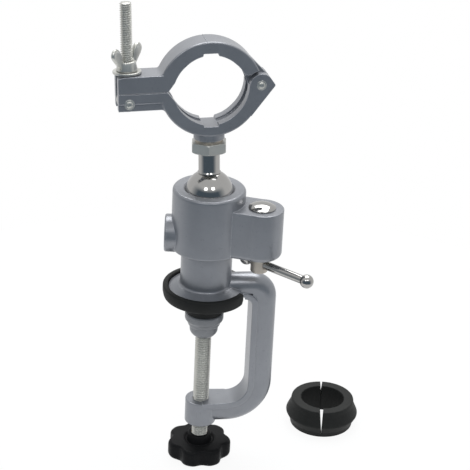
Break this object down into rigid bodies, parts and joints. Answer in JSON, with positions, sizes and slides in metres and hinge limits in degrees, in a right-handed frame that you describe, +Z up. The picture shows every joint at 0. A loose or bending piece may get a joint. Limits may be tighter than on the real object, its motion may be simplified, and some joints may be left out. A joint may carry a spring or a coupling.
{
  "type": "mini swivel vise",
  "caption": "Small table-clamp vise: a screw clamp, a lockable ball swivel and a hinged ring closed by a swing bolt and wing nut, with a loose rubber reducing bush.",
  "frame": {"origin": "centre of the rubber jaw face that rests on the table top", "axes": "+Z up along the swivel post, +X towards the spine of the clamp, -Y towards the viewer"},
  "size_m": [0.1616, 0.0936, 0.2857],
  "materials": {
    "casting": "fine cast, satin grey lacquer",
    "zinc_steel": "zinc plated",
    "shaft_steel": "turned, plain",
    "foot_metal": "turned, satin",
    "chrome": "polished chrome plate",
    "brass": "turned",
    "rubber": "matt, moulded",
    "knob_plastic": "moulded, satin"
  },
  "bodies": {
    "clamp": {"clamp_frame": "casting", "jaw_pad": "rubber"},
    "foot": {"screw_foot": "foot_metal", "foot_cap": "rubber", "foot_clip": "zinc_steel"},
    "screw": {"clamp_screw": "zinc_steel", "knob": "knob_plastic", "knob_insert": "brass"},
    "swivel": {"swivel_body": "casting", "retaining_plug": "zinc_steel"},
    "seat": {"ball_seat": "shaft_steel"},
    "stud": {"ball_stud": "chrome", "lock_nut": "zinc_steel", "lock_washer": "shaft_steel"},
    "ring": {"ring_lower": "casting", "hinge_pin": "zinc_steel", "bolt_pin": "zinc_steel"},
    "ring_top": {"ring_upper": "casting"},
    "bolt": {"swing_bolt": "zinc_steel"},
    "washer": {"flat_washer": "zinc_steel"},
    "wing": {"wing_nut": "zinc_steel"},
    "lock": {"lock_shaft": "shaft_steel", "shaft_dome": "chrome", "shaft_clip": "zinc_steel"},
    "lever": {"lever_bar": "chrome", "lever_balls": "chrome"},
    "plunger": {"wedge_plunger": "shaft_steel"},
    "bush": {"reducing_bush": "rubber"}
  },
  "joints": [
    {"name": "foot_travel", "type": "slide", "parent": "clamp", "child": "foot", "axis": [0, 0, 1], "range_m": [-0.042, 0.0019]},
    {"name": "screw_turn", "type": "hinge", "parent": "foot", "child": "screw", "pos_m": [0, 0, -0.05], "axis": [0, 0, 1], "range_deg": [-9530, 435]},
    {"name": "swivel_turn", "type": "hinge", "parent": "clamp", "child": "swivel", "pos_m": [0, 0, 0.04], "axis": [0, 0, 1], "continuous": true},
    {"name": "ball_pan", "type": "hinge", "parent": "swivel", "child": "seat", "pos_m": [0, 0, 0.0662], "axis": [0, 0, 1], "continuous": true},
    {"name": "ball_tilt", "type": "hinge", "parent": "seat", "child": "stud", "pos_m": [0, 0, 0.0662], "axis": [0.9245, 0.3811, 0], "range_deg": [-40, 50]},
    {"name": "ring_spin", "type": "hinge", "parent": "stud", "child": "ring", "pos_m": [0, 0, 0.0662], "axis": [-0.0332, 0.0806, 0.9962], "continuous": true},
    {"name": "ring_open", "type": "hinge", "parent": "ring", "child": "ring_top", "pos_m": [0.02611, 0.00647, 0.13139], "axis": [-0.0423, 0.9957, -0.082], "range_deg": [0, 24]},
    {"name": "bolt_swing", "type": "hinge", "parent": "ring", "child": "bolt", "pos_m": [-0.04734, 0.00259, 0.12203], "axis": [-0.0423, 0.9957, -0.082], "range_deg": [-100, 0]},
    {"name": "washer_slide", "type": "slide", "parent": "bolt", "child": "washer", "axis": [-0.0332, 0.0806, 0.9962], "range_m": [0, 0.0356]},
    {"name": "nut_turn", "type": "hinge", "parent": "washer", "child": "wing", "pos_m": [-0.04803, 0.00425, 0.14265], "axis": [-0.0332, 0.0806, 0.9962], "range_deg": [0, 10110]},
    {"name": "lock_turn", "type": "hinge", "parent": "swivel", "child": "lock", "pos_m": [0.02899, -0.01207, 0.027], "axis": [0, 0, 1], "range_deg": [-90, 0]},
    {"name": "plunger_push", "type": "slide", "parent": "swivel", "child": "plunger", "axis": [-0.9232, 0.3843, 0], "range_m": [0, 0.00114]},
    {"name": "lever_slide", "type": "slide", "parent": "lock", "child": "lever", "axis": [0.6884, -0.7254, 0], "range_m": [-0.005, 0]},
    {"name": "bush_lift", "type": "slide", "parent": "clamp", "child": "bush", "axis": [0, 0, 1], "range_m": [0, 0.05]}
  ],
  "couplings": [
    {"joint": "screw_turn", "follows": "foot_travel", "rad_per_m": 3957.9},
    {"joint": "ring_open", "follows": "washer_slide", "rad_per_m": 11.765},
    {"joint": "nut_turn", "follows": "washer_slide", "rad_per_m": 4947.4},
    {"joint": "plunger_push", "follows": "lock_turn", "m_per_rad": -0.00072025}
  ]
}
